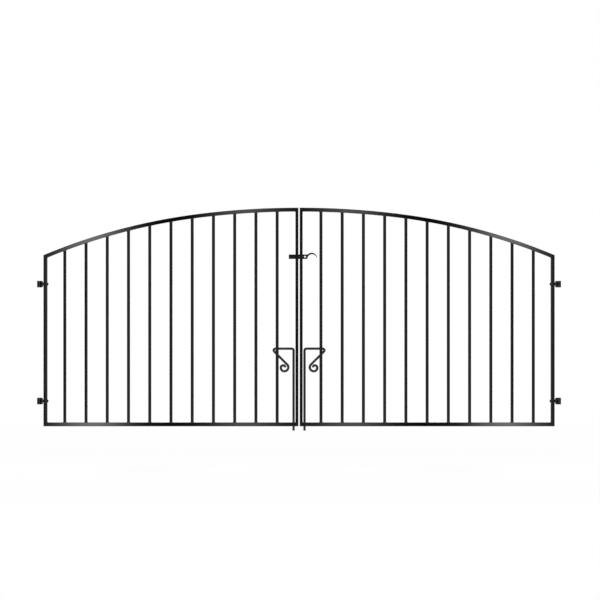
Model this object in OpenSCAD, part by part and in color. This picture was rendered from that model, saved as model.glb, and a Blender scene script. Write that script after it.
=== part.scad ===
// Double driveway gate with an arched top. Two framed leaves of round bars hang on pin hinges,
// meet in the middle under a gravity latch, and are held to the ground by two drop bolts.
// +X runs to the right as seen from the street, +Y to the inside, +Z up.
// The origin is the centre of the left lower hinge bracket's back face.
// Heights are counted from the underside of the bottom rails.

/* [Opening] */
// Width between the two faces that carry the hinge brackets
opening_w = 2134; // [1900:1:2400]
// Gap between the two closed leaves
leaf_gap = 5.4; // [5:0.1:12]
// Room between a bracket's back face and the leaf's hanging edge
hang_gap = 24.5; // [23.5:0.5:32]

/* [Arched top] */
// Height of the top edge in the middle of the gate
apex_h = 892; // [840:1:1300]
// Radius of the crown arc, at its top edge
crown_r = 3325; // [2600:5:6000]
// Half width of the crown arc
crown_half_w = 404; // [200:1:800]
// Radius of the tighter haunch arcs that run on from the crown
haunch_r = 2425; // [1900:5:2580]

/* [Leaf frame] */
// Thickness of the square bar of the rails and the hanging stiles
frame_bar = 16; // [14:0.5:20]
// Width of a meeting stile, seen from the street
meeting_w = 12; // [10:0.5:18]
// Bevel along the edges of the frame bars
edge_bevel = 1.2; // [0.4:0.1:3]

/* [Bars] */
// Number of upright bars in each leaf
bar_count = 11; // [7:1:14]
// Diameter of an upright bar
bar_d = 12.7; // [8:0.1:14]

/* [Hinges] */
// Height of the lower hinges
lower_hinge_h = 103; // [60:1:200]
// Drop of the upper hinges below the top edge of the leaf, at its hanging side
upper_hinge_drop = 118.6; // [60:0.1:300]
// Diameter of a hinge pin
pin_d = 8; // [6:0.5:9]
// Chamfer on the ends of a hinge pin
pin_chamfer = 0.8; // [0.2:0.1:1.5]
// Height of a hinge bracket
bracket_h = 27; // [22:0.5:40]
// Width of a bracket's plate, from street side to inside
plate_w = 46; // [42:1:70]
// Thickness of a bracket's plate
plate_t = 3; // [2.5:0.1:4]
// Radius of the plate's corners
plate_corner_r = 4; // [1:0.5:8]
// Thickness of the strap that is bent into a bracket's ears
ear_t = 3.4; // [3:0.1:4]
// Chamfer on the tip of an ear
ear_chamfer = 4.2; // [1:0.1:4.2]
// Diameter of a screw hole
screw_d = 5.2; // [4:0.1:6]
// Diameter of a screw hole's countersink
countersink_d = 9; // [7:0.1:9.5]
// Distance between a bracket's two screw holes
screw_spacing = 33; // [28:0.5:35]
// Outside diameter of an eye, and width of the strap round it
eye_d = 15.4; // [12:0.2:16]
// Gap between an eye and the strap behind it
eye_gap = 0.7; // [0.4:0.1:1.5]
// Diameter of an eye bolt's shank
shank_d = 10; // [8:0.5:12]
// Length of shank that stands out past the stile
shank_proud = 4.7; // [2.5:0.1:12]
// Height of the dome on a shank's end
shank_dome = 2.5; // [0.5:0.1:2.5]

/* [Latch] */
// Height of the latch arm's centre line
latch_h = 692; // [400:1:800]
// Height of the arm
arm_h = 18.4; // [14:0.1:24]
// Thickness of the arm
arm_t = 6; // [4:0.5:10]
// Reach of the arm past the middle of the gate, over the left leaf
arm_reach = 42; // [30:0.5:70]
// Radius of the arm's corners
arm_corner_r = 2; // [0.5:0.1:6]
// Diameter of the pivot that carries the arm
pivot_d = 8; // [6:0.5:9]
// Diameter of the pivot's shoulder and head
pivot_head_d = 14; // [11:0.5:18]
// Height of the pivot's domed head
pivot_head_t = 3; // [1:0.5:6]
// Diameter of the padlock hole
lock_hole_d = 7.2; // [5:0.1:8]
// Distance of the padlock hole from the middle of the gate
lock_hole_x = 24.3; // [22:0.1:26]
// Distance of the thumb curl's centre from the middle of the gate
curl_x = 51.2; // [48:0.1:56]
// Drop of the curl's centre below the arm's centre line
curl_drop = 6.5; // [2:0.1:8]
// Outside radius of the curl
curl_r = 22.8; // [21:0.1:26]
// Inside radius of the curl
curl_inside_r = 19.4; // [17:0.1:20]
// Sideways offset of the inside circle, which thins the curl towards its tip
curl_shift_x = 2; // [0:0.1:2.5]
// Downward offset of the inside circle
curl_shift_z = 2.9; // [1:0.1:4]
// Drop of the curl's tip below the arm's centre line
curl_tip_drop = 3.3; // [0:0.1:6]
// Thickness of the shelf that the arm lies on
keep_t = 5; // [3:0.5:8]
// Thickness of the lip behind the arm
lip_t = 3; // [2:0.5:6]
// Height of the lip above the shelf
lip_h = 4.3; // [3:0.1:5]

/* [Drop bolts] */
// Diameter of a rod
rod_d = 10; // [8:0.5:12]
// Distance of a rod from the middle of the gate
rod_x = 22.4; // [21:0.1:40]
// Length of rod below the bottom rail
rod_drop = 18.8; // [16:0.1:60]
// Chamfer on the ends of a rod
rod_chamfer = 1.2; // [0.2:0.1:2]
// Height of the handle's level run
handle_h = 316.4; // [250:1:500]
// Length of the level run between its bends
handle_run = 66.2; // [50:0.1:120]
// Length of the slanting stretch that leads to the scroll
handle_slant = 75; // [60:0.5:110]
// Radius of the bend from the rod to the level run
elbow_r = 8; // [7:0.5:16]
// Radius of the turn back from the level run
return_r = 7; // [6.5:0.5:10]
// Radius of the scroll's first turn
scroll_outer_r = 16; // [15:0.5:24]
// Radius of the scroll's foot
scroll_foot_r = 13.5; // [12.5:0.5:14.5]
// Radius of the scroll's rising turn
scroll_rise_r = 9.5; // [8.5:0.5:10.5]
// Radius of the scroll's last turn
scroll_end_r = 6.5; // [6:0.5:7]
// Straight length between the scroll's turns
scroll_land = 1; // [0.5:0.1:3]
// Extra diameter of a rod where it is bent
bend_swell = 0.1; // [0.08:0.01:0.3]
// Wall of the guide that a rod slides in
guide_wall = 3.6; // [2.5:0.1:6]
// Clearance round a rod in its guide
rod_clear = 0.4; // [0.2:0.1:1]

/* [Fits] */
// Clearance round a turning pin
run_clear = 0.1; // [0.02:0.01:0.1]
// Clearance round a fixed pin or shank
seat_clear = 0.05; // [0.01:0.01:0.1]
// Clearance at the sides of a turning eye or arm
side_clear = 0.3; // [0.1:0.05:0.5]
// Clearance between the arm and the leaf's inside face
arm_gap = 1; // [0.6:0.1:3]

/* [Hidden] */
SIDES = ["left", "right"];
SIDE_PARTS = [
    "lower_bracket", "upper_bracket", "hanging_stile", "meeting_stile", "bottom_rail", "top_rail",
    "eye_bolts", "bolt_guide", "drop_bolt"
];
function bar_name(side, k) = str(side, "_bar_", k < 10 ? "0" : "", k);

$fn = 64;
// Sides of the full circles that the arch's arcs are parts of
arch_fn = 1440;
// Length by which a cut runs past the faces it opens
over = 1;
// Length by which a rod's straights run into its bends
bend_lap = 0.4;
black = [0.06, 0.06, 0.065];
zinc = [0.62, 0.63, 0.65];

mid_x = opening_w / 2;
leaf_end_x = mid_x - leaf_gap / 2;
leaf_w = leaf_end_x - hang_gap;
bar_pitch = leaf_w / (bar_count + 1);

// The haunch arc leaves the crown arc where both have the same tangent
crown_turn = asin(crown_half_w / crown_r);
crown_centre = [mid_x, apex_h - crown_r];
haunch_centre = crown_centre + (crown_r - haunch_r) * [-sin(crown_turn), cos(crown_turn)];
haunch_turn = asin((haunch_centre.x - hang_gap) / haunch_r);
hanging_top_h = haunch_centre.y + haunch_r * cos(haunch_turn);
// Extra sweep of the haunch arc, which the leaf's upright end cuts off
haunch_spare_turn = 1;
// Sweep of the haunch arc inside the crown arc's end, and its step in from the crown's faces
splice_turn = 0.05;
splice_step = 0.05;

upper_hinge_h = hanging_top_h - upper_hinge_drop;
hinge_heights = [lower_hinge_h, upper_hinge_h];
eye_h = bracket_h - 2 * ear_t - 2 * side_clear;
pin_x = plate_t + ear_t + eye_gap + eye_d / 2;
ear_tip_x = pin_x + eye_d / 2;
countersink_depth = (countersink_d - screw_d) / 2;

leaf_back_y = frame_bar / 2;
arm_y = leaf_back_y + arm_gap;
arm_back_y = arm_y + arm_t;
pivot_offset = leaf_gap / 2 + meeting_w / 2;
shelf_h = latch_h - arm_h / 2 - side_clear;
keep_w = meeting_w - 2 * edge_bevel;

guide_r = rod_d / 2 + rod_clear + guide_wall;
rod_y = leaf_back_y + guide_r;
rod_rise = handle_h + rod_drop - elbow_r;

// Puts a piece of the left half where it belongs, or its mirror image on the right half
module place(side) {
    translate([0, 0, -lower_hinge_h])
        if (side == "left") children();
        else translate([opening_w, 0, 0]) mirror([1, 0, 0]) children();
}

// Rectangle with round corners, centred
module round_rect(w, h, r) {
    square([w - 2 * r, h], center = true);
    square([w, h - 2 * r], center = true);
    for (x = [-1, 1], y = [-1, 1])
        translate([x * (w / 2 - r), y * (h / 2 - r)]) circle(r);
}

// Section of a frame bar: a rectangle with bevelled corners, centred
module bar_section(w, h) {
    x = w / 2;
    y = h / 2;
    b = edge_bevel;
    polygon([
        [b - x, -y], [x - b, -y], [x, b - y], [x, y - b],
        [x - b, y], [b - x, y], [-x, y - b], [-x, b - y]
    ]);
}

// Round rod along +Z whose far end is a low dome
module domed_rod(d, length, dome) {
    cap_r = (d * d / 4 + dome * dome) / (2 * dome);
    rotate_extrude() {
        if (length > cap_r) square([d / 2, length - cap_r]);
        intersection() {
            translate([0, length - cap_r]) circle(cap_r);
            square([d / 2, length]);
        }
    }
}

// Upright space of the left leaf below the arch, with the arch lowered by an inset
module below_arch(inset) {
    wedge_l = 2 * crown_r;
    rotate([90, 0, 0]) linear_extrude(2 * frame_bar, center = true)
        intersection() {
            union() {
                translate(haunch_centre) circle(haunch_r - inset, $fn = arch_fn);
                intersection() {
                    translate(crown_centre) circle(crown_r - inset, $fn = arch_fn);
                    polygon([
                        crown_centre,
                        crown_centre + wedge_l * [-sin(crown_turn), cos(crown_turn)],
                        crown_centre + [0, wedge_l]
                    ]);
                }
            }
            translate([hang_gap, frame_bar]) square([leaf_w, apex_h]);
        }
}

// Arched frame bar of the left half, built about the joint of its two arcs.
// The haunch arc is a hair slimmer and is let into the end of the crown arc.
module arch_bar() {
    haunch_bar = frame_bar - 2 * splice_step;
    translate([crown_centre.x, 0, crown_centre.y]) rotate([90, 0, 0]) rotate(90 + crown_turn) {
        mirror([0, 1, 0]) rotate_extrude(angle = crown_turn, $fn = arch_fn)
            translate([crown_r - frame_bar / 2, 0]) bar_section(frame_bar, frame_bar);
        translate([crown_r - haunch_r, 0, 0]) rotate(-splice_turn)
            rotate_extrude(angle = haunch_turn - crown_turn + splice_turn + haunch_spare_turn, $fn = arch_fn)
                translate([haunch_r - frame_bar / 2, 0]) bar_section(haunch_bar, haunch_bar);
    }
}

// Upright of the leaf frame, cut to the underside of the arch
module stile(x, w) {
    intersection() {
        translate([x, 0, frame_bar]) linear_extrude(apex_h) bar_section(w, frame_bar);
        below_arch(frame_bar);
    }
}

module hanging_stile() {
    color(black) difference() {
        stile(hang_gap + frame_bar / 2, frame_bar);
        for (h = hinge_heights)
            translate([hang_gap - over, 0, h]) rotate([0, 90, 0])
                cylinder(d = shank_d + 2 * seat_clear, h = frame_bar + 2 * over);
    }
}

module meeting_stile() {
    color(black) stile(leaf_end_x - meeting_w / 2, meeting_w);
}

module bottom_rail() {
    color(black) translate([hang_gap, 0, frame_bar / 2]) rotate([0, 90, 0])
        linear_extrude(leaf_w) bar_section(frame_bar, frame_bar);
}

module top_rail() {
    color(black) intersection() {
        arch_bar();
        translate([hang_gap, -frame_bar, 0]) cube([leaf_w, 2 * frame_bar, apex_h + frame_bar]);
    }
}

module upright_bar(k) {
    color(black) intersection() {
        translate([hang_gap + k * bar_pitch, 0, frame_bar]) cylinder(d = bar_d, h = apex_h);
        below_arch(frame_bar);
    }
}

// Wall plate with a strap bent into two ears, which hold the hinge pin
module hinge_bracket(h) {
    color(black) translate([0, 0, h]) difference() {
        union() {
            rotate([90, 0, 90]) linear_extrude(plate_t) round_rect(plate_w, bracket_h, plate_corner_r);
            intersection() {
                bracket_strap();
                bracket_silhouette();
            }
        }
        translate([pin_x, 0, 0]) cylinder(d = pin_d + 2 * seat_clear, h = bracket_h + 2 * over, center = true);
        for (y = [-1, 1])
            translate([0, y * screw_spacing / 2, 0]) rotate([0, 90, 0]) screw_hole();
    }
}

module bracket_strap() {
    translate([0, -eye_d / 2, -bracket_h / 2]) cube([plate_t + ear_t, eye_d, bracket_h]);
    for (z = [-1, 1])
        translate([0, 0, z * (bracket_h - ear_t) / 2]) linear_extrude(ear_t, center = true) {
            translate([0, -eye_d / 2]) square([pin_x, eye_d]);
            translate([pin_x, 0]) circle(d = eye_d);
        }
}

// Outline of a bracket from the street, with the tips of its ears chamfered
module bracket_silhouette() {
    half_h = bracket_h / 2;
    chamfer_x = ear_tip_x - ear_chamfer;
    rotate([90, 0, 0]) linear_extrude(plate_w, center = true) polygon([
        [0, -half_h], [chamfer_x, -half_h], [ear_tip_x, ear_chamfer - half_h],
        [ear_tip_x, half_h - ear_chamfer], [chamfer_x, half_h], [0, half_h]
    ]);
}

// Countersunk hole along +Z through a bracket's plate
module screw_hole() {
    translate([0, 0, -over]) cylinder(d = screw_d, h = plate_t + 2 * over);
    translate([0, 0, plate_t - countersink_depth])
        cylinder(d1 = screw_d, d2 = countersink_d + 2 * over, h = countersink_depth + over);
}

module hinge_pin(h) {
    r = pin_d / 2;
    half_h = bracket_h / 2;
    color(black) translate([pin_x, 0, h]) rotate_extrude() polygon([
        [0, -half_h], [r - pin_chamfer, -half_h], [r, pin_chamfer - half_h],
        [r, half_h - pin_chamfer], [r - pin_chamfer, half_h], [0, half_h]
    ]);
}

// Forged eye on a shank that passes through the hanging stile
module eye_bolt(h) {
    neck_l = hang_gap - pin_x;
    color(black) translate([pin_x, 0, h]) difference() {
        union() {
            cylinder(d = eye_d, h = eye_h, center = true);
            intersection() {
                rotate([0, 90, 0]) cylinder(r1 = eye_h / 2, r2 = shank_d / 2, h = neck_l);
                cube([2 * neck_l, eye_d, eye_h], center = true);
            }
            translate([neck_l, 0, 0]) rotate([0, 90, 0])
                domed_rod(shank_d, frame_bar + shank_proud, shank_dome);
        }
        cylinder(d = pin_d + 2 * run_clear, h = bracket_h, center = true);
    }
}

module eye_bolts() {
    for (h = hinge_heights) eye_bolt(h);
}

module hinge_pins() {
    for (side = SIDES) place(side)
        for (h = hinge_heights) hinge_pin(h);
}

// Shelf with a back lip on the left meeting stile, which the latch arm drops into
module latch_keep() {
    lip_y = arm_back_y + arm_gap;
    color(black) translate([leaf_end_x - meeting_w / 2, 0, shelf_h]) rotate([90, 0, 90])
        linear_extrude(keep_w, center = true) {
            translate([leaf_back_y, -keep_t]) square([lip_y + lip_t - leaf_back_y, keep_t]);
            translate([lip_y, -keep_t]) square([lip_t, keep_t + lip_h - lip_t / 2]);
            translate([lip_y + lip_t / 2, lip_h - lip_t / 2]) circle(d = lip_t);
        }
}

// Shouldered rivet on the right meeting stile that carries the latch arm
module latch_pivot() {
    head_y = arm_gap + arm_t + side_clear;
    color(zinc) translate([mid_x + pivot_offset, leaf_back_y, latch_h]) rotate([-90, 0, 0]) {
        cylinder(d = pivot_head_d, h = arm_gap - side_clear);
        cylinder(d = pivot_d, h = head_y);
        translate([0, 0, head_y]) domed_rod(pivot_head_d, pivot_head_t, pivot_head_t / 2);
    }
}

// Outline of the latch arm about the middle of the gate: bar, thumb curl, pivot and padlock holes
module arm_outline() {
    inside = [curl_x + curl_shift_x, -curl_drop - curl_shift_z];
    bar_end = curl_x - curl_r / 2;
    difference() {
        union() {
            translate([(bar_end - arm_reach) / 2, 0])
                round_rect(bar_end + arm_reach, arm_h, arm_corner_r);
            intersection() {
                translate([curl_x, -curl_drop]) circle(curl_r);
                translate([0, -arm_h / 2]) square([curl_x + curl_r, 2 * curl_r]);
            }
        }
        translate(inside) circle(curl_inside_r);
        translate([inside.x, -curl_tip_drop - curl_r]) square([2 * curl_r, curl_r]);
        translate([pivot_offset, 0]) circle(d = pivot_d + 2 * run_clear);
        translate([lock_hole_x, 0]) circle(d = lock_hole_d);
    }
}

module latch_arm() {
    color(black) translate([mid_x, arm_back_y, latch_h]) rotate([90, 0, 0])
        linear_extrude(arm_t) arm_outline();
}

// Tube behind the bottom rail that a drop bolt slides in
module bolt_guide() {
    color(black) translate([mid_x - rod_x, rod_y, 0]) difference() {
        union() {
            cylinder(r = guide_r, h = frame_bar);
            translate([-guide_r, -guide_r, 0]) cube([2 * guide_r, guide_r, frame_bar]);
        }
        translate([0, 0, -over]) cylinder(r = rod_d / 2 + rod_clear, h = frame_bar + 2 * over);
    }
}

// Rod bent in the XZ plane, from one step to the next. A step is a straight length, then a bend
// radius and its turn in degrees, positive towards the left of the way the rod runs.
// Each straight runs a little way into the fuller bends at its ends.
module bent_rod(steps, i = 0) {
    length = steps[i][0];
    bend_r = steps[i][1];
    turn = steps[i][2];
    last = i == len(steps) - 1;
    lap_before = i == 0 ? 0 : bend_lap;
    lap_after = last ? 0 : bend_lap;
    translate([0, 0, -lap_before]) cylinder(d = rod_d, h = lap_before + length + lap_after);
    translate([0, 0, length])
        if (last) rod_end();
        else {
            rod_bend(bend_r, turn);
            translate([sign(turn) * bend_r * (cos(turn) - 1), 0, bend_r * sin(abs(turn))])
                rotate([0, -turn, 0]) bent_rod(steps, i + 1);
        }
}

// Bend of a rod that comes up along +Z at the origin
module rod_bend(bend_r, turn) {
    translate([-sign(turn) * bend_r, 0, 0]) mirror([turn < 0 ? 1 : 0, 0, 0]) rotate([90, 0, 0])
        rotate_extrude(angle = abs(turn)) translate([bend_r, 0]) circle(d = rod_d + bend_swell);
}

// Chamfered end of a rod, standing on +Z
module rod_end() {
    cylinder(d1 = rod_d, d2 = rod_d - 2 * rod_chamfer, h = rod_chamfer);
}

module drop_bolt() {
    steps = [
        [rod_rise - rod_chamfer, elbow_r, 90],
        [handle_run, return_r, 135],
        [handle_slant, scroll_outer_r, -135],
        [scroll_land, scroll_foot_r, -90],
        [scroll_land, scroll_rise_r, -90],
        [scroll_land, scroll_end_r, -90],
        [scroll_land]
    ];
    color(black) translate([mid_x - rod_x, rod_y, rod_chamfer - rod_drop]) {
        mirror([0, 0, 1]) rod_end();
        bent_rod(steps);
    }
}

for (side = SIDES) {
    place(side) hinge_bracket(lower_hinge_h);
    place(side) hinge_bracket(upper_hinge_h);
    place(side) hanging_stile();
    place(side) meeting_stile();
    place(side) bottom_rail();
    place(side) top_rail();
    place(side) eye_bolts();
    place(side) bolt_guide();
    place(side) drop_bolt();
    for (k = [1 : bar_count])
        place(side) upright_bar(k);
}
hinge_pins();
place("left") latch_keep();
place("left") latch_pivot();
place("left") latch_arm();
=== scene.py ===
"""Looks of the arched double driveway gate: powder coat, zinc, weld beads, studio light and camera."""
import math

import bmesh
import bpy
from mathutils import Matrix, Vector


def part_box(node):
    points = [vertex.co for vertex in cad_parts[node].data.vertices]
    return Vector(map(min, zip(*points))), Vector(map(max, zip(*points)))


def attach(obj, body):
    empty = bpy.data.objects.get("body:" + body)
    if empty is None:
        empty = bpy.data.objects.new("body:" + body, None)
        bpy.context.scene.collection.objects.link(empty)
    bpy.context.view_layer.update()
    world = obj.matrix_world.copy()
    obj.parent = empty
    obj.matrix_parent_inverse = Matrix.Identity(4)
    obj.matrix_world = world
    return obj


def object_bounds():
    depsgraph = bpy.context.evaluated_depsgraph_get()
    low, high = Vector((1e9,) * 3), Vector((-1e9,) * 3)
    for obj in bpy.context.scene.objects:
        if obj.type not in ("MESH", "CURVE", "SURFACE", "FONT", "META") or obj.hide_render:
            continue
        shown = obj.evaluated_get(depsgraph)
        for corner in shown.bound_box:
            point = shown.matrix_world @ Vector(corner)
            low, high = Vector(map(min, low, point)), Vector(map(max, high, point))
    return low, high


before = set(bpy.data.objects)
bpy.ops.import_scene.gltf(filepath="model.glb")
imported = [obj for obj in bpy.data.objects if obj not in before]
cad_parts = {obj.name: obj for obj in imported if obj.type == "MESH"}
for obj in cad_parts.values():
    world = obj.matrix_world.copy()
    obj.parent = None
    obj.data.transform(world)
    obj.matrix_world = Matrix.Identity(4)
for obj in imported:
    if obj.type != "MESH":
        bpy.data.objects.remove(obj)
cad_low, cad_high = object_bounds()

MM = 0.001
X_AXIS, Y_AXIS, Z_AXIS = Vector((1, 0, 0)), Vector((0, 1, 0)), Vector((0, 0, 1))
SIDES = ("left", "right")
LEVELS = ("lower", "upper")
INWARD = {"left": X_AXIS, "right": -X_AXIS}
BAR_COUNT = sum(1 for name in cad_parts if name.startswith("left_bar_"))

# Photograph: where the gate's middle and the bottom rail's underside lie, and the scale of its plane
PHOTO_SIZE = 600
PHOTO_MID_X = 299.05
PHOTO_BASE_Y = 426.35
PHOTO_M_PER_PX = 0.004078
CAMERA_DISTANCE = 12.0
CAMERA_REACH = 10 * CAMERA_DISTANCE
SENSOR_WIDTH = 36.0

# The gate's main lines, read from the frame
RAIL_LOW, RAIL_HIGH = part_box("left_bottom_rail")
BASE_Z = RAIL_LOW.z
RAIL_TOP_Z = RAIL_HIGH.z
FRAME_HALF = (RAIL_HIGH.y - RAIL_LOW.y) / 2
MID_X = (cad_low.x + cad_high.x) / 2
MID_Z = (cad_low.z + cad_high.z) / 2

# Flat part of the frame bars' faces, between their bevelled edges
FRAME_BEVEL = 1.2 * MM
FLAT_HALF = FRAME_HALF - FRAME_BEVEL

# Weld beads: leg on each face, depth below the faces, and ripple along the seam
BEAD_LEG = 1.7 * MM
BEAD_SINK = 0.5 * MM
BEAD_RIPPLE = 0.07
RIPPLE_PITCH = 2.2 * MM
RING_STEPS = 96
SEAM_STEP = 0.45 * MM
# A bead's outline bulges from flat at a fullness of 2 to round at 1
BEAD_POINTS = 7
BEAD_FULLNESS = 1.6
# Shares of the leg that stay at a seam's ends, and on a face that leaves no room for the toe
BEAD_END = 0.4
SHORTEST_TOE = 0.3
# Least part of a toe's direction that counts as running towards the face's edge
LEAST_LEAN = 0.3
# Digits to which two places along X count as one
X_DIGITS = 5

# Edge softening of the solids, with a weight at which large flat faces keep their own normals
EDGE_ROUND = 0.35 * MM
EDGE_ANGLE = math.radians(28)
EDGE_SEGMENTS = 2
WELD_DISTANCE = 0.004 * MM
FLAT_WEIGHT = 100

# Powder coat: noise scales per metre, the noise's useful span, and what it drives.
# Each bump has a strength and a depth.
CLOUD_SCALE = 9.0
GRAIN_SCALE = 420.0
PEEL_SCALE = 900.0
SWELL_SCALE = 150.0
COAT_SPAN = (0.3, 0.7)
COAT_TINTS = ((0.0022, 0.0022, 0.0024), (0.0040, 0.0040, 0.0043))
GRAIN_ROUGHNESS = (-0.01, 0.012)
PEEL_BUMP = (0.12, 0.12 * MM)
SWELL_BUMP = (0.10, 0.4 * MM)

# Zinc plate
SPANGLE_SCALE = 900.0
SPANGLE_ROUGHNESS = (0.28, 0.44)
BLOOM_SCALE = 260.0
BLOOM_SPAN = (0.3, 0.75)
BLOOM_TINTS = ((0.50, 0.51, 0.53), (0.66, 0.67, 0.68))
BLOOM_BUMP = (0.1, 0.05 * MM)

# Studio
WHITE = (1, 1, 1, 1)
FLOOR_TINT = (0.86, 0.86, 0.86, 1)
FLOOR_DROP = 0.107
FLOOR_SIZE = 6.0
FLOOR_GLOW = 0.93
WORLD_LEVEL = 0.55
# How far a mirrored direction points behind the gate, and the world's level over that span
BEHIND_SPAN = (0.5, 1.0)
BEHIND_LEVELS = (0.02, 1.0)
SUN_STRENGTH = 1.5
SUN_ANGLE = math.radians(60)
SUN_TILT = math.radians(20)
CARD_DISTANCE = 1.2
CARD_SIZE = (4.4, 3.2)
# Soft bright patches on the card: the pixel column that mirrors each, and its radiance
CARD_PATCHES = ((92, 3.2), (245, 1.5), (351, 1.5), (506, 3.1))
PATCH_SIGMA_PX = 21.5


def photo_to_x(px):
    """Place along the gate of a pixel column of the photograph."""
    return MID_X + (px - PHOTO_MID_X) * PHOTO_M_PER_PX


def photo_to_z(py):
    """Height of a pixel row of the photograph."""
    return BASE_Z + (PHOTO_BASE_Y - py) * PHOTO_M_PER_PX


# Shader helpers

def node_adder(tree):
    """A function that adds a node to a tree, with its settings, values and links."""
    def add(kind, inputs=None, **settings):
        node = tree.nodes.new(kind)
        for key, value in settings.items():
            setattr(node, key, value)
        for key, value in (inputs or {}).items():
            if isinstance(value, bpy.types.NodeSocket):
                tree.links.new(value, node.inputs[key])
            else:
                node.inputs[key].default_value = value
        return node

    return add


def new_material(name):
    """A material with its tree, its shader and a function that adds nodes."""
    material = bpy.data.materials.new(name)
    material.use_nodes = True
    tree = material.node_tree
    return material, tree, tree.nodes["Principled BSDF"], node_adder(tree)


def math_node(add, operation, first, second=0.0):
    """Result of one operation on two values."""
    return add("ShaderNodeMath", {0: first, 1: second}, operation=operation).outputs[0]


def noise(add, coords, scale, detail=3.0, roughness=0.55):
    """Smooth noise over a surface."""
    node = add("ShaderNodeTexNoise", {
        "Vector": coords, "Scale": scale, "Detail": detail, "Roughness": roughness})
    return node.outputs["Fac"]


def ramp(add, factor, span, colors):
    """Colour ramp between the two ends of a factor's span."""
    node = add("ShaderNodeValToRGB", {"Fac": factor})
    for element, place, color in zip(node.color_ramp.elements, span, colors):
        element.position = place
        element.color = (*color, 1.0)
    return node.outputs["Color"]


def spread(add, factor, span, new_span):
    """Carries a factor from one span over to another."""
    low, high = span
    to_low, to_high = new_span
    node = add("ShaderNodeMapRange", {
        "Value": factor, "From Min": low, "From Max": high, "To Min": to_low, "To Max": to_high})
    return node.outputs["Result"]


def bump(add, height, strength, depth, **below):
    """Normal of a bumped surface. Another bump's normal may lie below it."""
    node = add("ShaderNodeBump", {"Strength": strength, "Distance": depth, "Height": height, **below})
    return node.outputs["Normal"]


def rays(add, *kinds):
    """One where the ray is of any of the kinds, such as Camera or Glossy."""
    path = add("ShaderNodeLightPath")
    total = path.outputs[f"Is {kinds[0]} Ray"]
    for kind in kinds[1:]:
        total = math_node(add, "MAXIMUM", total, path.outputs[f"Is {kind} Ray"])
    return total


# Materials

def powder_coat(name, smooth, rough, specular):
    """Black powder coat: a fine orange peel, faint clouding and an uneven gloss between two roughnesses."""
    material, tree, shader, add = new_material(name)
    coords = add("ShaderNodeTexCoord").outputs["Object"]
    clouds = noise(add, coords, CLOUD_SCALE)
    grain = noise(add, coords, GRAIN_SCALE, detail=2.0)
    peel = noise(add, coords, PEEL_SCALE, detail=1.5, roughness=0.4)
    swell = noise(add, coords, SWELL_SCALE, detail=1.0)
    tree.links.new(ramp(add, clouds, COAT_SPAN, COAT_TINTS), shader.inputs["Base Color"])
    broad_gloss = spread(add, clouds, COAT_SPAN, (smooth, rough))
    fine_gloss = spread(add, grain, COAT_SPAN, GRAIN_ROUGHNESS)
    tree.links.new(math_node(add, "ADD", broad_gloss, fine_gloss), shader.inputs["Roughness"])
    orange_peel = bump(add, peel, *PEEL_BUMP)
    tree.links.new(bump(add, swell, *SWELL_BUMP, Normal=orange_peel), shader.inputs["Normal"])
    shader.inputs["Specular IOR Level"].default_value = specular
    return material


def zinc_plate():
    """Dull bright zinc on the latch's rivet: fine spangle and a faint milky bloom."""
    material, tree, shader, add = new_material("bright_zinc")
    coords = add("ShaderNodeTexCoord").outputs["Object"]
    spangle = add("ShaderNodeTexVoronoi", {"Vector": coords, "Scale": SPANGLE_SCALE}).outputs["Color"]
    facet = add("ShaderNodeSeparateColor", {"Color": spangle}).outputs["Red"]
    bloom = noise(add, coords, BLOOM_SCALE)
    tree.links.new(ramp(add, bloom, BLOOM_SPAN, BLOOM_TINTS), shader.inputs["Base Color"])
    tree.links.new(spread(add, facet, (0.0, 1.0), SPANGLE_ROUGHNESS), shader.inputs["Roughness"])
    tree.links.new(bump(add, bloom, *BLOOM_BUMP), shader.inputs["Normal"])
    shader.inputs["Metallic"].default_value = 1.0
    return material


# Weld beads: fillets with a ripple, swept along a seam

def skin(bm, rows, closed):
    """Faces between rows of points along a seam. Each row is a closed loop round the bead."""
    loops = [[bm.verts.new(point) for point in row] for row in rows]
    following = loops[1:] + loops[:1] if closed else loops[1:]
    for first, second in zip(loops, following):
        for k in range(len(first)):
            n = (k + 1) % len(first)
            bm.faces.new((first[k], first[n], second[n], second[k]))
    if not closed:
        bm.faces.new(list(reversed(loops[0])))
        bm.faces.new(loops[-1])


def bead_row(root, along_a, along_b, leg_a, leg_b):
    """Points round a fillet in the corner between two faces, which leave the root along a and b.

    Its two toes dip a little under the faces, and it is closed behind the root.
    """
    sink = BEAD_SINK * (along_a + along_b)
    row = []
    for k in range(BEAD_POINTS):
        turn = math.pi / 2 * k / (BEAD_POINTS - 1)
        share_a = max(math.cos(turn), 0.0) ** BEAD_FULLNESS
        share_b = math.sin(turn) ** BEAD_FULLNESS
        row.append(root + along_a * (share_a * leg_a) + along_b * (share_b * leg_b))
    row[0] = row[0] - sink / 2
    row[-1] = row[-1] - sink / 2
    row.append(root - sink)
    return row


def rippled(waves):
    """Leg of a bead after a number of ripples."""
    return BEAD_LEG * (1 + BEAD_RIPPLE * math.sin(2 * math.pi * waves))


def ring_bead(bm, centre, axis, radius, slope=0.0):
    """Bead round a bar where it meets a face. The axis points along the bar, away from the face.

    The face may rise along X by a slope. The toe of the bead stops at the face's bevelled edge.
    """
    side = axis.orthogonal().normalized()
    other = axis.cross(side)
    waves = round(2 * math.pi * radius / RIPPLE_PITCH)
    rows = []
    for k in range(RING_STEPS):
        turn = 2 * math.pi * k / RING_STEPS
        out = math.cos(turn) * side + math.sin(turn) * other
        rise = Z_AXIS * (slope * out.x)
        leg = rippled(waves * k / RING_STEPS)
        root = centre + (out + rise) * radius
        room = (FLAT_HALF - abs(root.y)) / max(abs(out.y), LEAST_LEAN)
        toe = min(leg, max(room, SHORTEST_TOE * leg))
        rows.append(bead_row(root, axis, out + rise, leg, toe))
    skin(bm, rows, closed=True)


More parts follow.
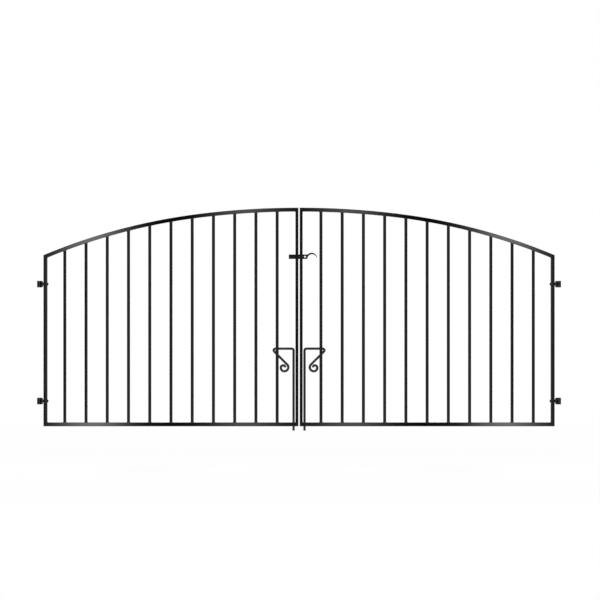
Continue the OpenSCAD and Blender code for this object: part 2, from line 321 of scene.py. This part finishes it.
def seam_bead(bm, start, end, along_a, along_b):
    """Straight bead in a corner between two faces, thin at its ends."""
    length = (end - start).length
    steps = round(length / SEAM_STEP)
    rows = []
    for k in range(steps + 1):
        leg = rippled(k / steps * length / RIPPLE_PITCH)
        if k in (0, steps):
            leg *= BEAD_END
        rows.append(bead_row(start.lerp(end, k / steps), along_a, along_b, leg, leg))
    skin(bm, rows, closed=False)


def bead_object(name, body, bm, material):
    """Turns a mesh of beads into a piece that rides on a body."""
    bmesh.ops.recalc_face_normals(bm, faces=bm.faces)
    mesh = bpy.data.meshes.new(name)
    bm.to_mesh(mesh)
    bm.free()
    mesh.polygons.foreach_set("use_smooth", [True] * len(mesh.polygons))
    mesh.materials.append(material)
    piece = bpy.data.objects.new(name, mesh)
    bpy.context.scene.collection.objects.link(piece)
    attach(piece, body)


def coped_top(name):
    """Left end and slope of an upright's top, which is cut to the arch's underside."""
    low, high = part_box(name)
    rim = [v.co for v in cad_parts[name].data.vertices if v.co.z > (low.z + high.z) / 2]
    left = min(rim, key=lambda v: (round(v.x, X_DIGITS), -v.z))
    right = max(rim, key=lambda v: (round(v.x, X_DIGITS), v.z))
    return left, (right.z - left.z) / (right.x - left.x)


def hinge_heights(side):
    """Heights of a side's two hinges."""
    boxes = [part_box(f"{side}_{level}_bracket") for level in LEVELS]
    return [(low.z + high.z) / 2 for low, high in boxes]


def bar_beads(bm, side):
    """Rings round both ends of every upright bar."""
    for k in range(1, BAR_COUNT + 1):
        name = f"{side}_bar_{k:02d}"
        low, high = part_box(name)
        x, radius = (low.x + high.x) / 2, (high.x - low.x) / 2
        left, slope = coped_top(name)
        ring_bead(bm, Vector((x, 0, RAIL_TOP_Z)), Z_AXIS, radius)
        ring_bead(bm, Vector((x, 0, left.z + slope * (x - left.x))), -Z_AXIS, radius, slope)


def stile_beads(bm, side):
    """Seams in the corners between the stiles and the two rails."""
    for stile, way in (("hanging_stile", INWARD[side]), ("meeting_stile", -INWARD[side])):
        low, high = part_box(f"{side}_{stile}")
        left, slope = coped_top(f"{side}_{stile}")
        x = high.x if way.x > 0 else low.x
        up_arch = (way + Z_AXIS * (slope * way.x)).normalized()
        for z, along, out in ((RAIL_TOP_Z, Z_AXIS, way), (left.z + slope * (x - left.x), -Z_AXIS, up_arch)):
            seam_bead(bm, Vector((x, -FLAT_HALF, z)), Vector((x, FLAT_HALF, z)), along, out)


def shank_beads(bm, side):
    """Rings where the eye bolts' ends come out of the hanging stile."""
    low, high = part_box(f"{side}_hanging_stile")
    way = INWARD[side]
    x = high.x if way.x > 0 else low.x
    ends = [v.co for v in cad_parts[f"{side}_eye_bolts"].data.vertices if (v.co.x - x) * way.x > 0]
    radius = max(abs(v.y) for v in ends)
    for z in hinge_heights(side):
        ring_bead(bm, Vector((x, 0, z)), way, radius)


def guide_beads(bm, side):
    """Seams down both sides of the drop bolt's guide, on the back of the bottom rail."""
    low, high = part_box(f"{side}_bolt_guide")
    foot, head = low.z + FRAME_BEVEL, high.z - FRAME_BEVEL
    for x, out in ((low.x, -X_AXIS), (high.x, X_AXIS)):
        seam_bead(bm, Vector((x, FRAME_HALF, foot)), Vector((x, FRAME_HALF, head)), Y_AXIS, out)


def keep_bead(bm):
    """Seam under the latch keep's shelf, on the back of the left meeting stile."""
    low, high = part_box("latch_keep")
    seam_bead(bm, Vector((low.x, FRAME_HALF, low.z)), Vector((high.x, FRAME_HALF, low.z)), -Z_AXIS, Y_AXIS)


def leaf_beads(side, material):
    """All the beads of a leaf, in one piece. The latch's keep is on the left leaf."""
    bm = bmesh.new()
    for make in (bar_beads, stile_beads, shank_beads, guide_beads):
        make(bm, side)
    if side == "left":
        keep_bead(bm)
    bead_object(f"{side}_leaf_welds", f"{side}_leaf", bm, material)


def bracket_beads(material):
    """Seams down both sides of the straps, on the hinge plates. A strap is as wide as the eye it holds."""
    bm = bmesh.new()
    for side in SIDES:
        eye_low, eye_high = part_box(f"{side}_eye_bolts")
        half_strap = (eye_high.y - eye_low.y) / 2
        way = INWARD[side]
        for level in LEVELS:
            name = f"{side}_{level}_bracket"
            low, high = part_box(name)
            points = [v.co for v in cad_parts[name].data.vertices]
            plate = [point.x for point in points if abs(point.y) > half_strap + BEAD_LEG]
            face = max(plate) if way.x > 0 else min(plate)
            for out in (-Y_AXIS, Y_AXIS):
                y = out.y * half_strap
                seam_bead(bm, Vector((face, y, low.z)), Vector((face, y, high.z)), way, out)
    bead_object("hinge_bracket_welds", "hinge_brackets", bm, material)


# The solids: soften their edges and give them their finish

def finish_of(name):
    """Zinc rivet, flat black hinge brackets, deep black uprights, and gloss black on the rest."""
    if name == "latch_pivot":
        return ZINC
    if name == "hinge_pins" or name.endswith("_bracket"):
        return FLAT_COAT
    if "_bar_" in name or name.endswith("meeting_stile"):
        return DEEP_COAT
    return GLOSS_COAT


def is_round_stock(name):
    """Whether a solid is bent or turned from round bar, and keeps its own smooth surface."""
    return "_bar_" in name or name.endswith(("_bolt", "_bolts", "_pins", "_pivot"))


def finish_solids():
    """Coats every solid, and rounds the edges of those made from flat or square bar."""
    for name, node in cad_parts.items():
        node.data.materials.clear()
        node.data.materials.append(finish_of(name))
        if is_round_stock(name):
            continue
        weld = node.modifiers.new("weld", "WELD")
        weld.merge_threshold = WELD_DISTANCE
        bevel = node.modifiers.new("edges", "BEVEL")
        bevel.width = EDGE_ROUND
        bevel.segments = EDGE_SEGMENTS
        bevel.limit_method = "ANGLE"
        bevel.angle_limit = EDGE_ANGLE
        flat = node.modifiers.new("flats", "WEIGHTED_NORMAL")
        flat.weight = FLAT_WEIGHT


# Studio

def stage_plane(name, corners, material):
    """A flat piece of the studio, which isn't part of the gate."""
    mesh = bpy.data.meshes.new(name)
    mesh.from_pydata(corners, [], [(0, 1, 2, 3)])
    mesh.materials.append(material)
    plane = bpy.data.objects.new(name, mesh)
    bpy.context.scene.collection.objects.link(plane)
    return plane


def floor():
    """Pale floor under the drop bolts' lowest place: nearly white to the eye, with some real shade left."""
    material, tree, shader, add = new_material("floor_white")
    tree.nodes.remove(shader)
    diffuse = add("ShaderNodeBsdfDiffuse", {"Color": FLOOR_TINT})
    glow = add("ShaderNodeEmission")
    share = math_node(add, "MULTIPLY", rays(add, "Camera", "Glossy", "Transmission"), FLOOR_GLOW)
    mix = add("ShaderNodeMixShader", {0: share, 1: diffuse.outputs[0], 2: glow.outputs[0]})
    tree.links.new(mix.outputs[0], tree.nodes["Material Output"].inputs["Surface"])
    half = FLOOR_SIZE / 2
    z = BASE_Z - FLOOR_DROP
    corners = [(MID_X + x * half, y * half, z) for x, y in ((-1, -1), (1, -1), (1, 1), (-1, 1))]
    stage_plane("floor", corners, material)


def world_light():
    """White to the camera. To reflections it is white behind the gate and dim in front of it."""
    world = bpy.data.worlds.new("studio")
    bpy.context.scene.world = world
    world.use_nodes = True
    world.cycles.sampling_method = "NONE"
    tree = world.node_tree
    tree.nodes.clear()
    add = node_adder(tree)
    direction = add("ShaderNodeTexCoord").outputs["Generated"]
    depth = add("ShaderNodeSeparateXYZ", {0: direction}).outputs["Y"]
    mirrored = spread(add, depth, BEHIND_SPAN, BEHIND_LEVELS)
    level = add("ShaderNodeMix", {"Factor": rays(add, "Glossy"), "A": WORLD_LEVEL, "B": mirrored})
    seen = add("ShaderNodeMix", {
        "Factor": rays(add, "Camera", "Transmission"), "A": level.outputs["Result"], "B": 1.0})
    back = add("ShaderNodeBackground", {"Color": WHITE, "Strength": seen.outputs["Result"]})
    add("ShaderNodeOutputWorld", {"Surface": back.outputs[0]})


def bell(add, place, centre, sigma, peak):
    """Bell curve over a place."""
    offset = math_node(add, "SUBTRACT", place, centre)
    scaled = math_node(add, "DIVIDE", offset, sigma)
    fall = math_node(add, "MULTIPLY", math_node(add, "MULTIPLY", scaled, scaled), -0.5)
    return math_node(add, "MULTIPLY", math_node(add, "EXPONENT", fall), peak)


def graded_card():
    """Tall card in front of the gate whose soft patches are mirrored in the flat front faces."""
    material, tree, shader, add = new_material("light_card")
    tree.nodes.remove(shader)
    coords = add("ShaderNodeTexCoord").outputs["Object"]
    across = add("ShaderNodeSeparateXYZ", {0: coords}).outputs["X"]
    camera_x = photo_to_x(PHOTO_SIZE / 2)
    reach = 1 + CARD_DISTANCE / CAMERA_DISTANCE
    sigma = PATCH_SIGMA_PX * PHOTO_M_PER_PX * reach
    total = 0.0
    for px, radiance in CARD_PATCHES:
        centre = camera_x + (photo_to_x(px) - camera_x) * reach
        total = math_node(add, "ADD", bell(add, across, centre, sigma, radiance), total)
    glow = add("ShaderNodeEmission", {"Strength": total})
    tree.links.new(glow.outputs[0], tree.nodes["Material Output"].inputs["Surface"])
    half_w, half_h = CARD_SIZE[0] / 2, CARD_SIZE[1] / 2
    corners = [(MID_X + x * half_w, -CARD_DISTANCE, MID_Z + z * half_h)
               for x, z in ((-1, -1), (-1, 1), (1, 1), (1, -1))]
    card = stage_plane("light_card", corners, material)
    card.visible_camera = False
    card.visible_shadow = False


def soft_sun():
    """Broad light from above and a little in front, as from a large overhead cloth."""
    light = bpy.data.lights.new("overhead", "SUN")
    light.energy = SUN_STRENGTH
    light.angle = SUN_ANGLE
    lamp = bpy.data.objects.new("overhead", light)
    lamp.rotation_euler = (SUN_TILT, 0, 0)
    bpy.context.scene.collection.objects.link(lamp)


def camera():
    """Square-on and far off, so that the gate's plane has the photograph's scale."""
    data = bpy.data.cameras.new("camera")
    data.sensor_width = SENSOR_WIDTH
    data.lens = SENSOR_WIDTH * CAMERA_DISTANCE / (PHOTO_SIZE * PHOTO_M_PER_PX)
    data.clip_end = CAMERA_REACH
    view = bpy.data.objects.new("camera", data)
    bpy.context.scene.collection.objects.link(view)
    middle = PHOTO_SIZE / 2
    view.location = (photo_to_x(middle), -CAMERA_DISTANCE - FRAME_HALF, photo_to_z(middle))
    view.rotation_euler = (math.radians(90), 0, 0)
    bpy.context.scene.camera = view


GLOSS_COAT = powder_coat("gloss_black_coat", smooth=0.07, rough=0.11, specular=0.6)
DEEP_COAT = powder_coat("deep_black_coat", smooth=0.08, rough=0.12, specular=0.35)
FLAT_COAT = powder_coat("flat_black_coat", smooth=0.38, rough=0.48, specular=0.3)
ZINC = zinc_plate()
camera()
finish_solids()
for gate_side in SIDES:
    leaf_beads(gate_side, GLOSS_COAT)
bracket_beads(FLAT_COAT)
floor()
world_light()
graded_card()
soft_sun()
bpy.context.scene.view_settings.view_transform = "Standard"
